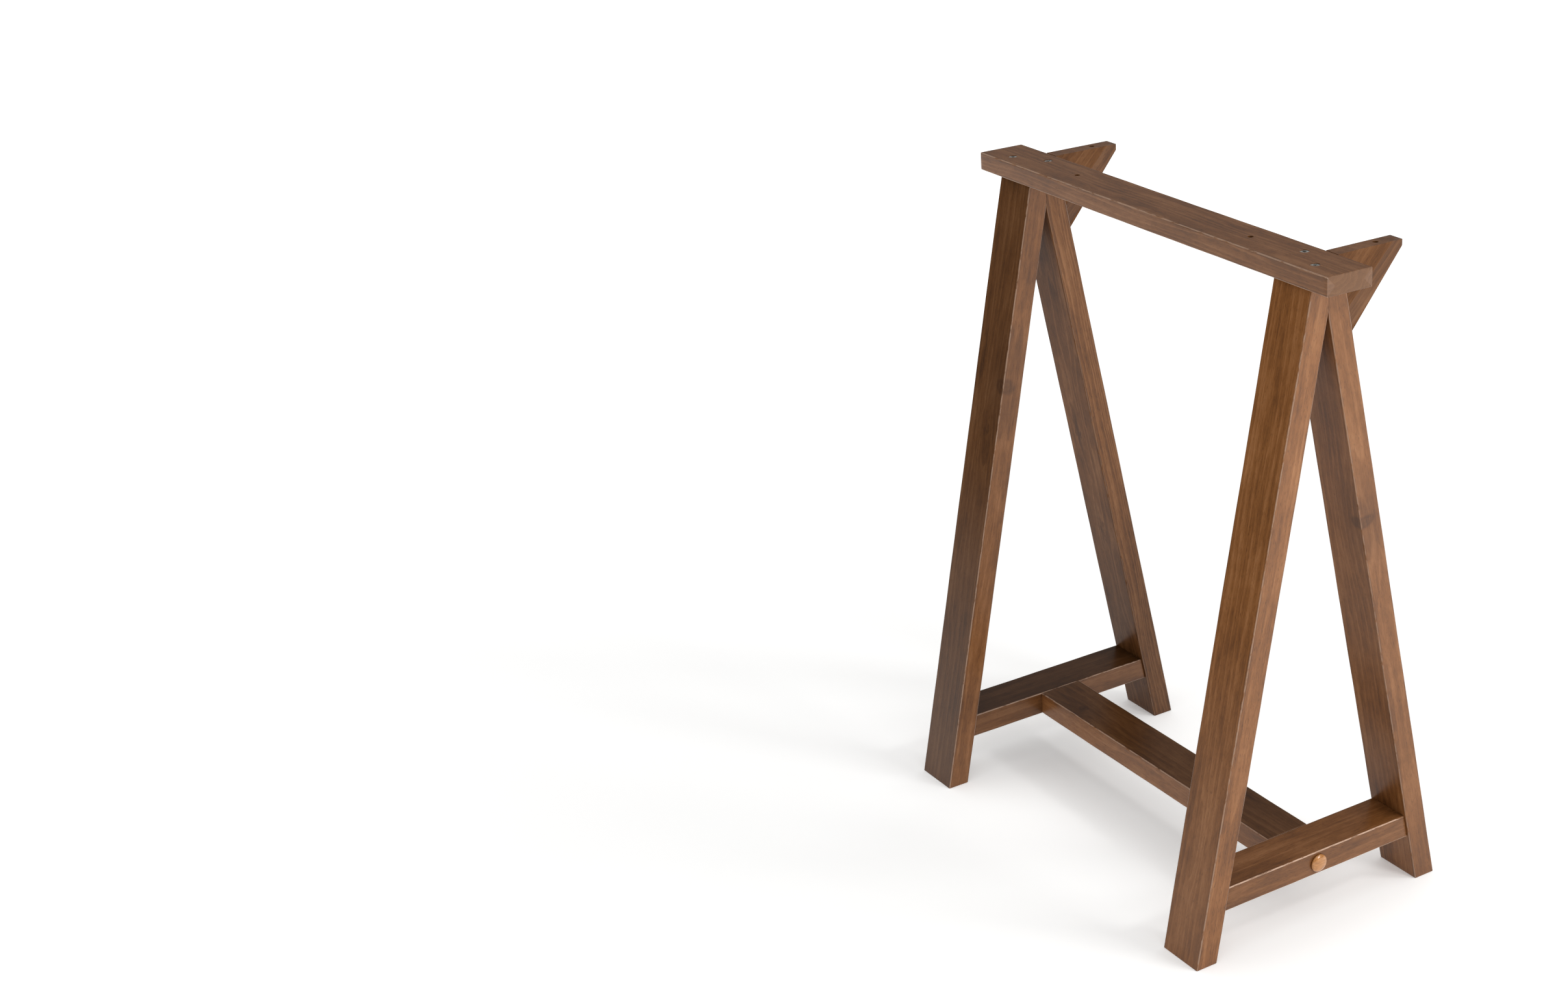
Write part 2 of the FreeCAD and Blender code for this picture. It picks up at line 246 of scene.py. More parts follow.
def board_outline(width, depth, steps, fold=None):
    """The section of a board with rounded arrises, as four arrays over its points.

    Point = base + radius * turn, and normal points out of the section. Each quarter circle
    has its centre at the corner less the radius on both sides, so base is the corner itself
    and turn is the circle's direction less the corner's signs. A shoulder point on each flat
    close to each arris keeps the shading of the flat even. corner numbers the arrises from
    0 to 3, so that each can wander by itself. fold adds a point at that p on both flats
    across p.
    """
    base, turn, normal, corner = [], [], [], []
    signs = [(1, 1), (-1, 1), (-1, -1), (1, -1)]
    half = np.array([width, depth]) / 2
    for number, sign in enumerate(signs):
        sign = np.array(sign, float)
        angles = math.pi / 2 * (number + np.linspace(0, 1, steps + 1))
        directions = np.stack([np.cos(angles), np.sin(angles)], axis=1)
        before, after = directions[0].round(), directions[-1].round()
        base += [sign * half - after * SHOULDER] + [sign * half] * (steps + 1)
        base += [sign * half - before * SHOULDER]
        turn += [np.zeros(2)] + list(directions - sign) + [np.zeros(2)]
        normal += [before] + list(directions) + [after]
        corner += [number] * (steps + 3)
        if fold is not None and number in (0, 2):
            base.append(np.array([fold, sign[1] * half[1]]))
            turn.append(np.zeros(2))
            normal.append(after)
            corner.append(number)
    return np.array(base), np.array(turn), np.array(normal), np.array(corner)


def along_board(length, easing, step, steps):
    """Stations along a board, as shares of its length, offsets added to them, and insets.

    Near both ends they follow a quarter circle, inset = easing * (1 - sin a) at a distance
    easing * (1 - cos a), and between they are evenly spaced.
    """
    angles = np.linspace(0, math.pi / 2, steps // 2 + 2)
    rim = easing * (1 - np.cos(angles))
    inset = easing * (1 - np.sin(angles))
    count = max(2, round((length - 2 * easing) / step))
    middle = np.linspace(0, 1, count + 1)[1:-1]
    share = np.concatenate([np.zeros(len(rim)), middle, np.ones(len(rim))])
    offset = np.concatenate([rim, easing * (1 - 2 * middle), -rim[::-1]])
    inset = np.concatenate([inset, np.zeros(len(middle)), inset[::-1]])
    return share, offset, inset


def board_piece(name, width, depth, start, end, place, seed, fold=None):
    """A sawn board: its section carried along straight lines between two end cuts.

    Section coordinates are p across the width and q across the depth. start and end give
    the end cuts as distances s along the board, worked out from p and q, and place turns
    arrays of p, q and s into points. The arris radius wanders along the board as a sum of
    a long and a short sine wave, with other phases at each arris. Where the section has a
    fold, the far end cap is two faces that meet along it.
    """
    sizes = bpy.context.scene.trestle_timber
    base, turn, normal, corner = board_outline(width, depth, sizes.arc_steps, fold)
    middle = np.zeros(1)
    length = float(end(middle, middle)[0] - start(middle, middle)[0])
    share, offset, inset = along_board(length, sizes.easing, sizes.ring_step, sizes.arc_steps)
    run = share[:, None] * length
    phase = seed + 1.7 * corner[None, :]
    # Waves about 300 and 80 mm long: 47 and 13 mm to the radian.
    long_wave = np.sin(run / 0.047 + phase)
    short_wave = np.sin(run / 0.013 + 2.3 * phase)
    wander = 0.6 * long_wave + 0.4 * short_wave
    radius = sizes.arris * (1 + sizes.arris_wander * wander)
    section = base[None] + radius[..., None] * turn[None] - inset[:, None, None] * normal[None]
    p, q = section[..., 0], section[..., 1]
    low, high = start(p, q), end(p, q)
    s = low + (high - low) * share[:, None] + offset[:, None]
    rings, count = p.shape
    first = list(range(count))
    last = [(rings - 1) * count + k for k in range(count)]
    caps = [first[::-1]]
    if fold is None:
        caps.append(last)
    else:
        on_fold = [k for k in range(count) if abs(base[k, 0] - fold) < 1e-9]
        near, far = on_fold[0], on_fold[-1]
        caps.append(last[near:far + 1])
        caps.append(last[far:] + last[:near + 1])
    return mesh_piece(name, place(p, q, s), grid_faces(rings, count), caps)


def turned_piece(name, profile, places):
    """Solids of revolution: a profile of (radius, height) spun about each place's axis.

    places lists (centre, axis) pairs. A point at angle a is centre + height * axis +
    radius * (cos a * right + sin a * up).
    """
    count = TURNED_SIDES
    angles = np.linspace(0, 2 * math.pi, count, endpoint=False)
    points, faces, caps = [], [], []
    for centre, axis in places:
        right = np.cross(axis, (1, 0, 0))
        up = np.cross(right, axis)
        spin = np.cos(angles)[:, None] * right + np.sin(angles)[:, None] * up
        rings = centre + profile[:, 1, None, None] * axis + profile[:, 0, None, None] * spin
        first = len(points) * len(profile) * count
        points.append(rings)
        faces += (first + np.array(grid_faces(len(profile), count))).tolist()
        last = first + (len(profile) - 1) * count
        caps += [list(range(first + count - 1, first - 1, -1)), list(range(last, last + count))]
    return mesh_piece(name, np.array(points), faces, caps)


def drill(piece, profile, places):
    """Bores the profile, spun about each place's axis, out of a piece, with crisp rims."""
    bit = turned_piece("drill", np.array(profile), places)
    cut = piece.modifiers.new("drill", "BOOLEAN")
    cut.operation, cut.solver, cut.object = "DIFFERENCE", "EXACT", bit
    bpy.context.view_layer.update()
    solid = piece.evaluated_get(bpy.context.evaluated_depsgraph_get())
    drilled = bpy.data.meshes.new_from_object(solid)
    piece.modifiers.clear()
    old, piece.data = piece.data, drilled
    drilled.set_sharp_from_angle(angle=SHARP_ANGLE)
    bpy.data.meshes.remove(old)
    bpy.data.objects.remove(bit)


def coat(piece, material):
    """Gives a piece or a CAD node its only material."""
    piece.data.materials.clear()
    piece.data.materials.append(material)


def dress(piece, material, replaced):
    """Puts a new piece on the trestle in place of the CAD node that it stands for."""
    coat(piece, material)
    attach(piece, BODY)
    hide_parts(replaced)
    return piece


# ---- materials ----------------------------------------------------------------------


EASED = {"interpolation_type": "SMOOTHSTEP"}    # for a Map Range node that eases in and out


def linear(colour):
    """An sRGB hex colour as linear RGBA."""
    channels = [int(colour[k:k + 2], 16) / 255 for k in (1, 3, 5)]
    return tuple(
        c / 12.92 if c <= 0.04045 else ((c + 0.055) / 1.055) ** 2.4 for c in channels
    ) + (1.0,)


def add_node(tree, kind, *values, inputs=None, output=0, stops=(), **settings):
    """Adds a shader node and gives one of its outputs.

    values are numbers or other nodes' outputs for its inputs in order, and inputs holds those
    that go by name or number. settings go on the node, and stops are the (position, colour or
    grey level) pairs of a colour ramp.
    """
    new = tree.nodes.new("ShaderNode" + kind)
    for key, value in settings.items():
        setattr(new, key, value)
    for key, value in [*enumerate(values), *(inputs or {}).items()]:
        if isinstance(value, bpy.types.NodeSocket):
            tree.links.new(value, new.inputs[key])
        else:
            new.inputs[key].default_value = value
    if stops:
        elements = new.color_ramp.elements
        elements.remove(elements[1])
        for index, (position, colour) in enumerate(stops):
            element = elements.new(position) if index else elements[0]
            element.position = position
            element.color = colour if isinstance(colour, tuple) else (colour, colour, colour, 1.0)
    return new.outputs[output] if new.outputs else None


def streaks(tree, board, across, along, detail=2.0, roughness=0.5, output=0):
    """Noise drawn out along the grain: across and along are its sizes in mm."""
    scale = (1 / across, 1 / across, 1 / along)
    scaled = add_node(tree, "VectorMath", board, scale, operation="MULTIPLY")
    noise = {"Vector": scaled, "Scale": 1.0, "Detail": detail, "Roughness": roughness}
    return add_node(tree, "TexNoise", inputs=noise, output=output)


def drift(tree, board, across, along, detail, reach):
    """A streaky shift across the grain, of up to half of reach in mm each way."""
    noise = streaks(tree, board, across, along, detail, output="Color")
    shift = add_node(tree, "VectorMath", noise, (0.5, 0.5, 0.5), operation="SUBTRACT")
    return add_node(tree, "VectorMath", shift, (reach, reach, 0.0), operation="MULTIPLY")


def new_material(name):
    """An empty node material, its shader and its tree."""
    material = bpy.data.materials.new(name)
    material.use_nodes = True
    tree = material.node_tree
    tree.nodes.clear()
    surface = add_node(tree, "BsdfPrincipled")
    add_node(tree, "OutputMaterial", surface)
    return material, surface.node, tree


def stained_pine(name, centre, turn, size, offset, pith, shade, tilt=(0.0, 0.0), ring=8.5,
                 banding=1.0, wear_and_highlight=0.4, gloss=(0.14, 0.3), foot_gloss=0.0, foot_shade=1.0,
                 knots=()):
    """Planed pine under a wiped-on brown stain and satin lacquer.

    The soft early wood takes the stain deeply and the hard late wood stays lighter, fine fibres
    and pores run along the grain, and the stain is mottled. It is worn thin on the arrises,
    where a broken pale line is partly worn wood and partly a painted highlight, and it gathers
    beside them. Sawn ends are greyer.

    turn sets the board's own axes, with z along the grain and x and y across it. centre and
    size are its middle in metres and its sides in mm. The growth rings, ring mm apart, run
    round the pith, whose place is given in mm from the board's middle and which leaves the
    grain's direction by tilt degrees. The shade pair is painted shading: it darkens the faces
    across x and across y by how little light falls on them. gloss says how glossy these faces
    come out, foot_gloss and foot_shade how glossy the faces across x are and how dark the board
    is at the lower end, banding how much the rings show, and wear how far the arrises are worn
    through and brightened by a painted highlight. A knot is a place and its core's radii in mm,
    and how dark it is. offset moves the noises, so that no two boards are alike.
    """
    colours = bpy.context.scene.trestle_stain
    material, shader, tree = new_material(name)
    add = functools.partial(add_node, tree)
    place = add("TexCoord", output="Object")
    board = add("Mapping", place, centre, turn, (MM, MM, MM), vector_type="TEXTURE")
    shift = (offset * 3.1, offset * 7.7, offset * 131.0)
    shifted = add("VectorMath", board, shift, operation="ADD")

    # Growth rings: distance from the pith, bent by the way the tree grew and round the knots.
    sway = drift(tree, shifted, 40.0, 240.0, 1.0, 22.0)
    waver = drift(tree, shifted, 5.0, 34.0, 2.0, 2.4)
    rings_at = add("VectorMath", board, sway, operation="ADD")
    rings_at = add("VectorMath", rings_at, waver, operation="ADD")
    pith_turn = (math.radians(tilt[1]), math.radians(-tilt[0]), 0.0)
    rings_at = add(
        "Mapping", rings_at, (-pith[0], -pith[1], 0.0), pith_turn, vector_type="POINT"
    )
    rings_at = add("VectorMath", rings_at, (1.0, 1.0, 0.0), operation="MULTIPLY")
    radius = add("VectorMath", rings_at, operation="LENGTH", output="Value")
    knot_marks = 0.0
    eddy = drift(tree, shifted, 11.0, 11.0, 2.0, 9.0)
    for spot, reach, darkness in knots:
        away = add("VectorMath", board, eddy, operation="ADD")
        away = add("VectorMath", away, spot, operation="SUBTRACT")
        core = add("VectorMath", away, tuple(1 / r for r in reach), operation="MULTIPLY")
        core = add("VectorMath", core, operation="LENGTH", output="Value")
        flow = (0.7 / reach[0], 0.7 / reach[1], 0.25 / reach[2])
        around = add("VectorMath", away, flow, operation="MULTIPLY")
        around = add("VectorMath", around, operation="LENGTH", output="Value")
        swell = add("MapRange", around, 0.0, 2.2, 1.3 * ring, 0.0, **EASED)
        radius = add("Math", radius, swell, operation="ADD")
        swirl = add("Math", core, 16.0, operation="MULTIPLY")
        swirl = add("Math", swirl, operation="SINE")
        swirl = add("MapRange", swirl, -1.0, 1.0, 0.72, 1.0, **EASED)
        heart = add("MapRange", core, 0.1, 1.2, darkness, 0.0, **EASED)
        heart = add("Math", heart, swirl, operation="MULTIPLY")
        halo = add("MapRange", around, 0.3, 1.6, 0.3 * darkness, 0.0, **EASED)
        knot = add("Math", heart, halo, operation="MAXIMUM")
        knot_marks = add("Math", knot_marks, knot, operation="MAXIMUM")
    spacing = streaks(tree, rings_at, 16.0, 1.0, 1.0)
    spacing = add("Math", spacing, 2.2, operation="MULTIPLY")
    year = add("Math", radius, ring, operation="DIVIDE")
    year = add("Math", year, spacing, operation="ADD")
    year = add("Math", year, operation="FRACT")
    late = add(
        "ValToRGB", year,
        stops=((0.0, 0.28), (0.2, 0.2), (0.62, 0.38), (0.84, 1.0), (0.94, 0.7), (1.0, 0.28)),
    )
    late.node.color_ramp.interpolation = "B_SPLINE"

    # Fibres 0.8 mm wide, a little coarser than real ones so that they show.
    fibre = streaks(tree, shifted, 0.8, 11.0, 3.0, 0.62)
    strand = streaks(tree, shifted, 2.4, 90.0, 2.0, 0.55)
    mottle = streaks(tree, shifted, 7.0, 16.0, 3.0, 0.6)
    blotch = streaks(tree, shifted, 26.0, 90.0, 2.0, 0.5)
    patchy = streaks(tree, shifted, 2.2, 12.0, 3.0, 0.65)
    # Resin canals and torn pores: dark dashes 0.6 mm wide and up to 6 mm long.
    pore = streaks(tree, shifted, 0.75, 5.5, 1.0)
    pore = add("MapRange", pore, 0.62, 0.74, **EASED)

    # How deeply the wood has taken the stain, from dark at 0 to light at 1.
    depth = add("Math", late, 0.4, operation="SUBTRACT")
    depth = add("Math", depth, 0.30 * banding, operation="MULTIPLY")
    for noise, amount in ((fibre, 0.60), (strand, 0.42), (mottle, 0.42), (blotch, 0.75)):
        part = add("Math", noise, 0.5, operation="SUBTRACT")
        part = add("Math", part, amount, operation="MULTIPLY")
        depth = add("Math", depth, part, operation="ADD")
    depth = add("Math", depth, 0.5, operation="ADD")
    tones = ((0.05, colours.dark), (0.5, colours.middle), (0.95, colours.light))
    stain = add("ValToRGB", depth, stops=[(at, linear(tone)) for at, tone in tones])

    # How far inside the board's sides a point lies, in mm: near two long sides is near an arris.
    half = tuple(side / 2 for side in size)
    inside = add("VectorMath", board, operation="ABSOLUTE")
    inside = add("VectorMath", half, inside, operation="SUBTRACT")
    inside_x, inside_y, inside_end = add("SeparateXYZ", inside).node.outputs
    from_arris = add("Math", inside_x, inside_y, operation="MAXIMUM")
    edge_face = add("Math", inside_y, inside_x, operation="LESS_THAN")
    height = add("SeparateXYZ", board, output="Z")

    # Painted shading: each pair of faces is darkened by how little light falls on it. Some boards
    # are also darker towards the foot.
    painted_face_shading = add("MapRange", edge_face, 0.0, 1.0, *shade, **EASED)
    foot_darkening = add("MapRange", height, -300.0, 60.0, foot_shade, 1.0, **EASED)
    painted_face_shading = add("Math", painted_face_shading, foot_darkening, operation="MULTIPLY")
    stain = add("VectorMath", stain, painted_face_shading, operation="MULTIPLY")

    # Sawn ends drink more stain and look greyer. Pores and knots hold more of it. Beside the
    # arrises it gathers in a broken dark line. On the arrises a broken pale line is partly worn
    # wood and partly a painted highlight.
    sawn = add("MapRange", inside_end, 0.0, 0.8, 0.55, 0.0, **EASED)
    broken = add("MapRange", patchy, 0.38, 0.56, **EASED)
    gathered = add("MapRange", from_arris, 1.5, 2.5, 0.42, 0.0, **EASED)
    gathered = add("Math", gathered, broken, operation="MULTIPLY")
    marks = add("Math", pore, 0.42, operation="MULTIPLY")
    marks = add("Math", marks, gathered, operation="MAXIMUM")
    marks = add("Math", marks, knot_marks, operation="MAXIMUM")
    # Painted highlight and wear: the pale arris line, broken up along its length.
    broken_edge_line = add("MapRange", patchy, 0.36, 0.52, 0.15, 1.0, **EASED)
    rubbed_and_highlight = add("MapRange", from_arris, 0.8, 1.5, wear_and_highlight, 0.0, **EASED)
    rubbed_and_highlight = add("Math", rubbed_and_highlight, broken_edge_line, operation="MULTIPLY")
    for share, colour in ((sawn, colours.sawn), (marks, colours.knot), (rubbed_and_highlight, colours.rubbed_and_highlight)):
        layers = {0: share, 6: stain, 7: linear(colour)}
        stain = add("Mix", inputs=layers, output=2, data_type="RGBA")

    # The lacquer follows fibres and late wood and sinks into the pores, where it is rougher.
    relief = add("Math", fibre, 0.6, operation="MULTIPLY")
    ridges = add("Math", late, 0.25, operation="MULTIPLY")
    relief = add("Math", relief, ridges, operation="ADD")
    hollows = add("Math", pore, 0.5, operation="MULTIPLY")
    relief = add("Math", relief, hollows, operation="SUBTRACT")
    bump = add("Bump", inputs={"Height": relief, "Strength": 0.35, "Distance": 0.06 * MM})
    rough = add("Math", fibre, 0.12, operation="MULTIPLY")
    rough = add("Math", 0.24, rough, operation="ADD")
    pitted = add("Math", pore, 0.1, operation="MULTIPLY")
    rough = add("Math", rough, pitted, operation="ADD")
    lacquer = add("MapRange", edge_face, 0.0, 1.0, *gloss, **EASED)
    if foot_gloss:
        foot = add("MapRange", height, -340.0, 60.0, foot_gloss, gloss[0], **EASED)
        wide_face = add("Math", 1.0, edge_face, operation="SUBTRACT")
        foot = add("Math", foot, wide_face, operation="MULTIPLY")
        lacquer = add("Math", lacquer, foot, operation="MAXIMUM")
    tree.links.new(stain, shader.inputs["Base Color"])
    tree.links.new(rough, shader.inputs["Roughness"])
    tree.links.new(bump, shader.inputs["Normal"])
    tree.links.new(lacquer, shader.inputs["Specular IOR Level"])
    shader.inputs["Specular IOR Level"].default_value = sum(gloss) / 2    # all an export keeps
    shader.inputs["IOR"].default_value = 1.48
    return material


def flecked(name, grain, detail, *stops):
    """A material in flecks of two colours. grain is their size in mm along X, Y and Z."""
    material, shader, tree = new_material(name)
    place = add_node(tree, "TexCoord", output="Object")
    scale = tuple(1 / (side * MM) for side in grain)
    place = add_node(tree, "VectorMath", place, scale, operation="MULTIPLY")
    fleck = add_node(
        tree, "TexNoise", inputs={"Vector": place, "Scale": 1.0, "Detail": detail}
    )
    tint = add_node(tree, "ValToRGB", fleck, stops=[(at, linear(tone)) for at, tone in stops])
    tree.links.new(tint, shader.inputs["Base Color"])
    return material, shader


def turned_beech(name):
    """A lathe-turned hardwood button, stained honey and dipped in gloss lacquer."""
    colours = bpy.context.scene.trestle_stain
    material, shader = flecked(
        name, (8.0, 1.1, 1.1), 2.0, (0.3, colours.plug_dark), (0.72, colours.plug)
    )
    shader.inputs["Roughness"].default_value = 0.28
    shader.inputs["Coat Weight"].default_value = 0.8
    shader.inputs["Coat Roughness"].default_value = 0.06
    return material


def pressed_beech(name):
    """Slip tenons of plain compressed beech, pale and matt with short dark rays."""
    material, shader = flecked(name, (6.0, 1.2, 0.8), 3.0, (0.35, "#B98E62"), (0.6, "#D9B78C"))
    shader.inputs["Roughness"].default_value = 0.62
    return material


def zinc_steel(name):
    """Zinc-plated steel hardware: bright grey metal, a little cloudy from the plating bath."""
    material, shader, tree = new_material(name)
    place = add_node(tree, "TexCoord", output="Object")
    clouds = {"Vector": place, "Scale": 1 / (5.0 * MM), "Detail": 3.0}
    cloud = add_node(tree, "TexNoise", inputs=clouds)
    tint = add_node(
        tree, "ValToRGB", cloud, stops=((0.3, linear("#A9A8A2")), (0.7, linear("#C9C9C6")))
    )
    tree.links.new(tint, shader.inputs["Base Color"])
    rough = add_node(tree, "MapRange", cloud, 0.3, 0.7, 0.28, 0.42, **EASED)
    tree.links.new(rough, shader.inputs["Roughness"])
    shader.inputs["Metallic"].default_value = 1.0
    return material


# ---- operators ----------------------------------------------------------------------


class TRESTLE_OT_legs(bpy.types.Operator):
    """Add the four splayed legs"""

    bl_idname = "trestle.legs"
    bl_label = "Legs"

    # What stained_pine makes of each leg's board, the knots in mm from its middle. The shade pair
    # is painted shading of the sides and the front, lower where less light falls.
    boards = {
        "front_left": dict(
            offset=1.0, pith=(14.0, -84.0), tilt=(0.2, 0.5), shade=(0.70, 0.78), wear_and_highlight=0.35,
            gloss=(0.02, 0.42), foot_gloss=0.28,
            knots=(((-14.0, 4.0, -232.0), (5.0, 5.0, 9.0), 0.12),),
        ),
        "front_right": dict(
            offset=2.0, pith=(-10.0, 78.0), tilt=(-0.2, 0.4), shade=(0.62, 0.70), wear_and_highlight=0.25,
            gloss=(0.2, 0.42),
            knots=(((-8.0, -24.0, 98.0), (22.0, 19.0, 13.0), 0.72),),
        ),
        "back_left": dict(
            offset=3.0, pith=(22.0, 76.0), tilt=(0.2, 0.6), shade=(0.36, 0.68), wear_and_highlight=0.35,
            gloss=(0.02, 0.38), foot_gloss=0.3, foot_shade=0.92,
            knots=(((-8.0, -25.0, 128.0), (20.0, 17.0, 17.0), 0.72),
                   ((-13.0, -4.0, 70.0), (4.0, 5.0, 9.0), 0.5)),
        ),
        "back_right": dict(
            offset=4.0, pith=(84.0, 22.0), tilt=(0.3, -0.2), shade=(0.58, 0.56), wear_and_highlight=0.15,
            gloss=(0.10, 0.30), foot_shade=0.64, ring=4.2, banding=1.7,
            knots=(((-13.0, 6.0, 34.0), (3.0, 4.0, 8.0), 0.7),
                   ((-13.0, 2.0, -96.0), (3.0, 4.0, 8.0), 0.6)),
        ),
    }

    def execute(self, context):
        for end in ENDS:
            for side in SIDES:
                self.add_leg(end, side)
        return {"FINISHED"}

    def add_leg(self, end, side):
        """One leg: level foot and head, its head also cut upright along the centre seam.

        The head's two cuts meet in the fold.
        """
        sign = SIDES[side]
        node = f"leg_{end}_{side}"
        board = self.boards[f"{end}_{side}"]
        low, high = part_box(node)
        outer, inner, gain = splayed_leg(sign)
        width, depth = outer - inner, high.y - low.y
        middle_x, middle_y = sign * (outer + inner) / 2, (low.y + high.y) / 2
        slope = sign * gain

        def head(p, q):
            """The lower of the level cut and the upright cut through x = 0."""
            return np.minimum(high.z, -(middle_x + p) / slope)

        def place(p, q, s):
            """Leaning with the leg: s is the height."""
            return np.stack([middle_x + slope * s + p, middle_y + q, s], axis=-1)

        piece = board_piece(
            f"{end}_{side}_leg", width, depth, lambda p, q: np.full(p.shape, low.z), head,
            place, seed=board["offset"], fold=-middle_x - slope * high.z,
        )
        lean = math.atan(slope)
        height = (low.z + high.z) / 2
        material = stained_pine(
            f"stained_pine_{end}_{side}_leg",
            centre=(middle_x + slope * height, middle_y, height), turn=(0.0, lean, 0.0),
            size=(width * math.cos(lean) / MM, depth / MM, NO_ENDS), **board,
        )
        dress(piece, material, node)


class TRESTLE_OT_cross_rails(bpy.types.Operator):
    """Add the two low cross rails between the legs"""

    bl_idname = "trestle.cross_rails"
    bl_label = "Cross Rails"

    # What stained_pine makes of each rail's board. The shade pair is painted shading, lowest where
    # the least light falls.
    boards = {
        "front": dict(offset=4.0, shade=(0.55, 0.62), wear_and_highlight=0.75),
        "back": dict(offset=6.0, shade=(0.18, 0.46), wear_and_highlight=0.35),
    }

    def execute(self, context):
        outer, inner, gain = splayed_leg(1)
        for end in ENDS:
            node = f"cross_rail_{end}"
            low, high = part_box(node)
            middle = (low + high) / 2
            height, depth = high.z - low.z, high.y - low.y

            def right_cut(p, q):
                """The splayed inner face of the right leg."""
                return inner + gain * (middle.z + p)

            def place(p, q, s):
                """Level across the trestle, p upwards."""
                return np.stack([s, middle.y + q, middle.z + p], axis=-1)

            board = self.boards[end]
            piece = board_piece(
                f"{end}_cross_rail", height, depth, lambda p, q: -right_cut(p, q), right_cut,
                place, seed=board["offset"],
            )
            material = stained_pine(
                f"stained_pine_{end}_cross_rail", centre=tuple(middle),
                turn=(0.0, math.pi / 2, 0.0), size=(height / MM, depth / MM, NO_ENDS),
                pith=(48.0, 30.0), tilt=(0.3, 0.2), gloss=(0.09, 0.40), **board,
            )
            dress(piece, material, node)
        return {"FINISHED"}


class TRESTLE_OT_long_boards(bpy.types.Operator):
    """Add the stretcher and the top beam"""

    bl_idname = "trestle.long_boards"
    bl_label = "Stretcher and Beam"

    def execute(self, context):
        # The shade pairs are painted shading, lowest where the least light falls, as on the
        # stretcher's top.
        stretcher = self.add_board(
            "stretcher", "long_stretcher", offset=7.0, pith=(30.0, -52.0), tilt=(0.2, 0.5),
            shade=(0.74, 0.25), gloss=(0.3, 0.08),
            knots=(((-9.0, -13.0, 152.0), (9.0, 9.0, 11.0), 0.85),),
        )
        beam = self.add_board(
            "top_beam", "flat_top_beam", offset=8.0, pith=(-26.0, -34.0), tilt=(0.3, 0.1),
            shade=(0.6, 0.5), gloss=(0.3, 0.14), ring=6.0, banding=1.4,
        )
        self.drill_stretcher(stretcher)
        self.drill_beam(beam)
        return {"FINISHED"}

    def drill_stretcher(self, board):
        """The holes from below for the barrel nuts, which stay in sight."""
        for sign in ENDS.values():
            low, high = solid_box("barrel_nuts", y=sign)
            radius = (high[0] - low[0]) / 2 + FIT
            rise = high[2] + FIT - low[2]
            centre = np.array([(low[0] + high[0]) / 2, (low[1] + high[1]) / 2, low[2]])
            drill(board, [(radius, -BIT_REACH), (radius, rise)], [(centre, UP)])

    def drill_beam(self, board):
        """Countersunk holes for the leg screws, and those for what the beam will carry."""
        for side in SIDES.values():
            for end in ENDS.values():
                low, high = solid_box("beam_screws", x=side, y=end)
                head = (high[0] - low[0]) / 2 + FIT
                shank = head - SCREW_CONE
                centre = np.array([(low[0] + high[0]) / 2, (low[1] + high[1]) / 2, high[2]])
                profile = [(shank, -BIT_REACH), (shank, shank - head), (head, 0),
                           (head, BIT_CLEAR)]
                drill(board, profile, [(centre, UP)])
        holes = next(m for m in frame["record"]["mounts"] if m["name"] == "desktop_screw_holes")
        radius, spacing = holes["dims"]["hole_r_mm"] * MM, holes["dims"]["spacing_y_mm"] * MM
        x, y, z = holes["pos_m"]
        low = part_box("top_beam")[0].z - z
        profile = [(2 * radius, low - BIT_CLEAR), (2 * radius, low), (radius, low + radius),
                   (radius, BIT_CLEAR)]
        drill(board, profile, [
            (np.array([x, y + sign * spacing / 2, z]), UP) for sign in ENDS.values()
        ])

    def add_board(self, node, name, **board):
        """A level board along Y with square ends. board is what stained_pine makes of it."""
        low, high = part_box(node)
        middle = (low + high) / 2
        width, height = high.x - low.x, high.z - low.z

        def place(p, q, s):
            """Level along the trestle, q upwards."""
            return np.stack([middle.x + p, s, middle.z + q], axis=-1)

        piece = board_piece(
            name, width, height, lambda p, q: np.full(p.shape, low.y),
            lambda p, q: np.full(p.shape, high.y), place, seed=board["offset"],
        )
        material = stained_pine(
            f"stained_pine_{name}", centre=tuple(middle), turn=(-math.pi / 2, 0.0, 0.0),
            size=(width / MM, height / MM, (high.y - low.y) / MM), **board,
        )
        return dress(piece, material, node)


class TRESTLE_OT_corner_braces(bpy.types.Operator):
    """Finish the two corner braces under the beam"""

    bl_idname = "trestle.corner_braces"
    bl_label = "Corner Braces"

    def execute(self, context):
        for end in ENDS:
            node = f"corner_brace_{end}"
            low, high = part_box(node)
            middle = (low + high) / 2
            slope = math.atan2(high.x - low.x, high.z - low.z)
            # The shade pair is painted shading: the braces get little light behind the beam.
            material = stained_pine(
                f"stained_pine_{end}_brace", centre=tuple(middle), turn=(0.0, slope, 0.0),
                size=(NO_ENDS, NO_ENDS, NO_ENDS), pith=(70.0, 12.0), shade=(0.45, 0.42),
                offset=9.0 + ENDS[end],
            )
            coat(frame["nodes"][node], material)
        return {"FINISHED"}


